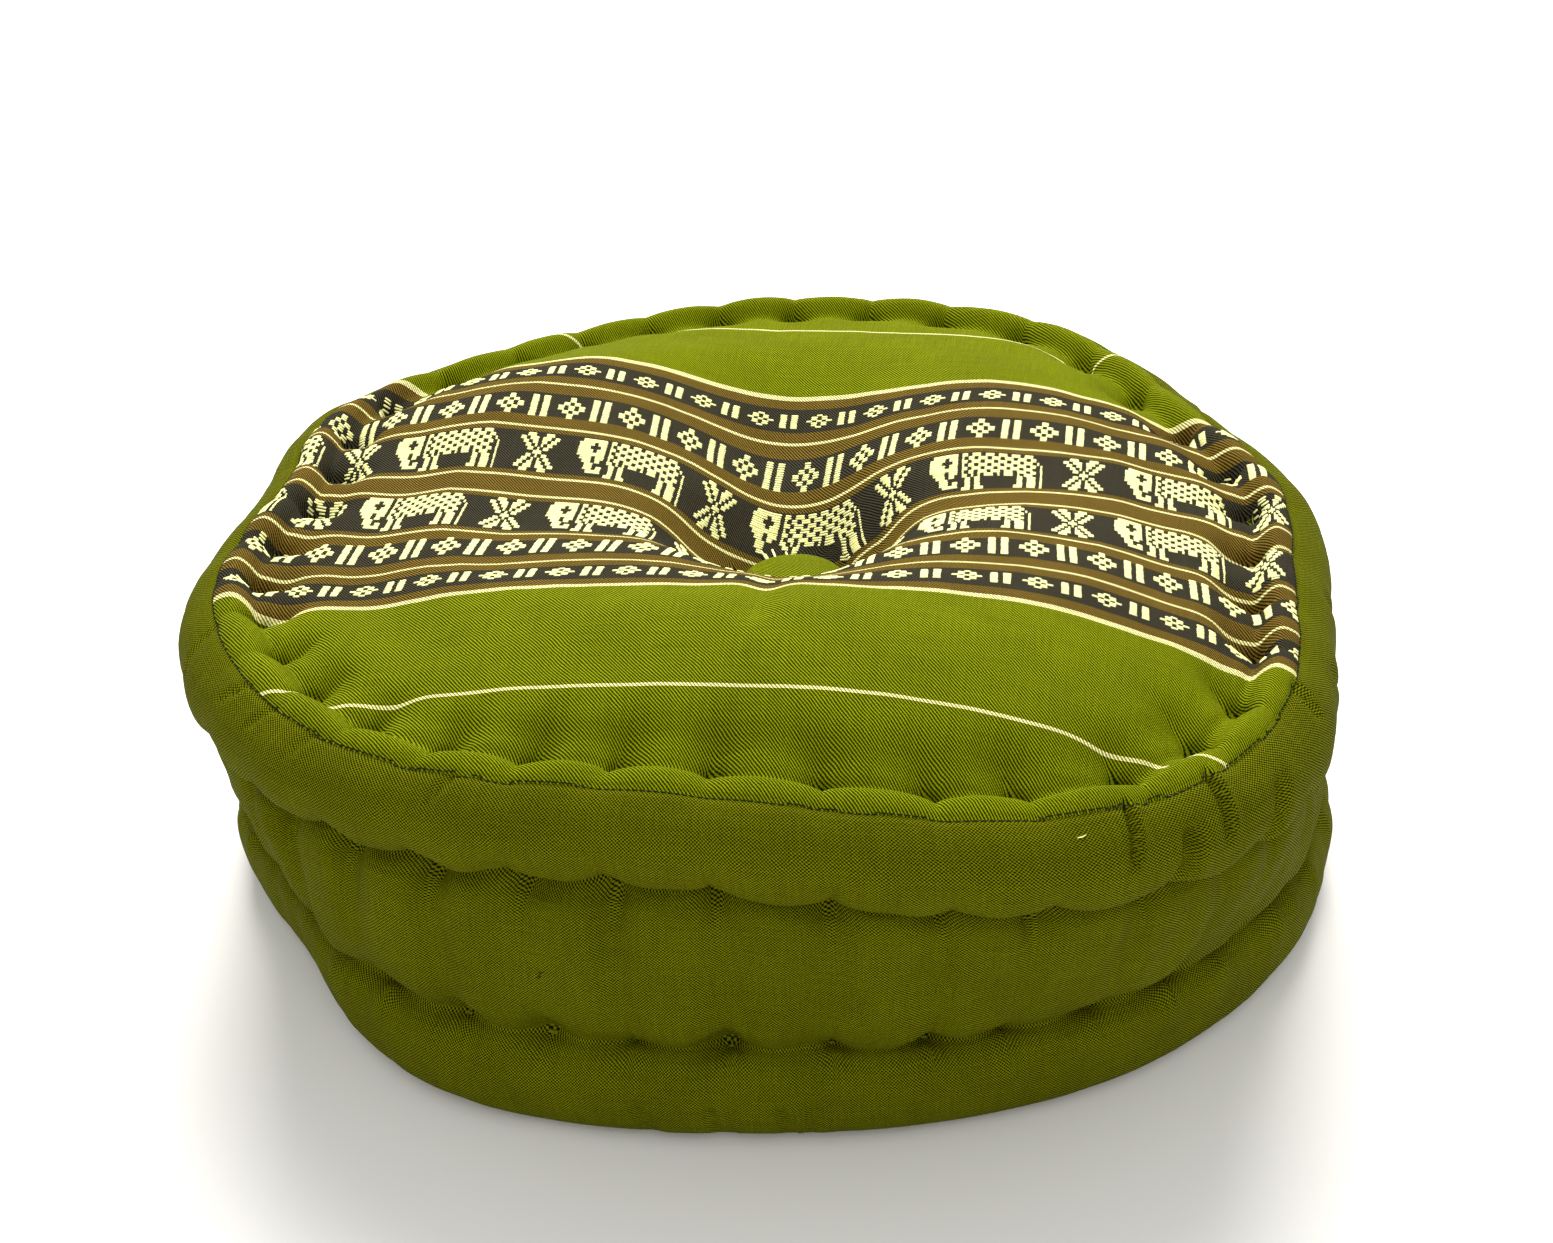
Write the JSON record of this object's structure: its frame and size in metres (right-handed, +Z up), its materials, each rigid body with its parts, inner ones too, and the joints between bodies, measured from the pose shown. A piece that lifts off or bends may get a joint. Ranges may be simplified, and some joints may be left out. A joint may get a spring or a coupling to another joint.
{
  "type": "floor cushion",
  "caption": "Round tufted floor cushion with rolled edges, a sunken covered button and a woven band across its top.",
  "frame": {"origin": "middle of the cushion's footprint box, on the floor that it rests on", "axes": "+Z up, +X along the woven band to the viewer's right, and -Y towards the viewer"},
  "size_m": [0.4174, 0.4054, 0.1711],
  "materials": {
    "cover_cloth": "green woven cotton, with a brown and charcoal band across the top woven with cream elephants and diamonds",
    "button_cloth": "green twill stretched over the button"
  },
  "bodies": {
    "root": {"cushion": "cover_cloth", "button": "button_cloth"}
  },
  "joints": []
}
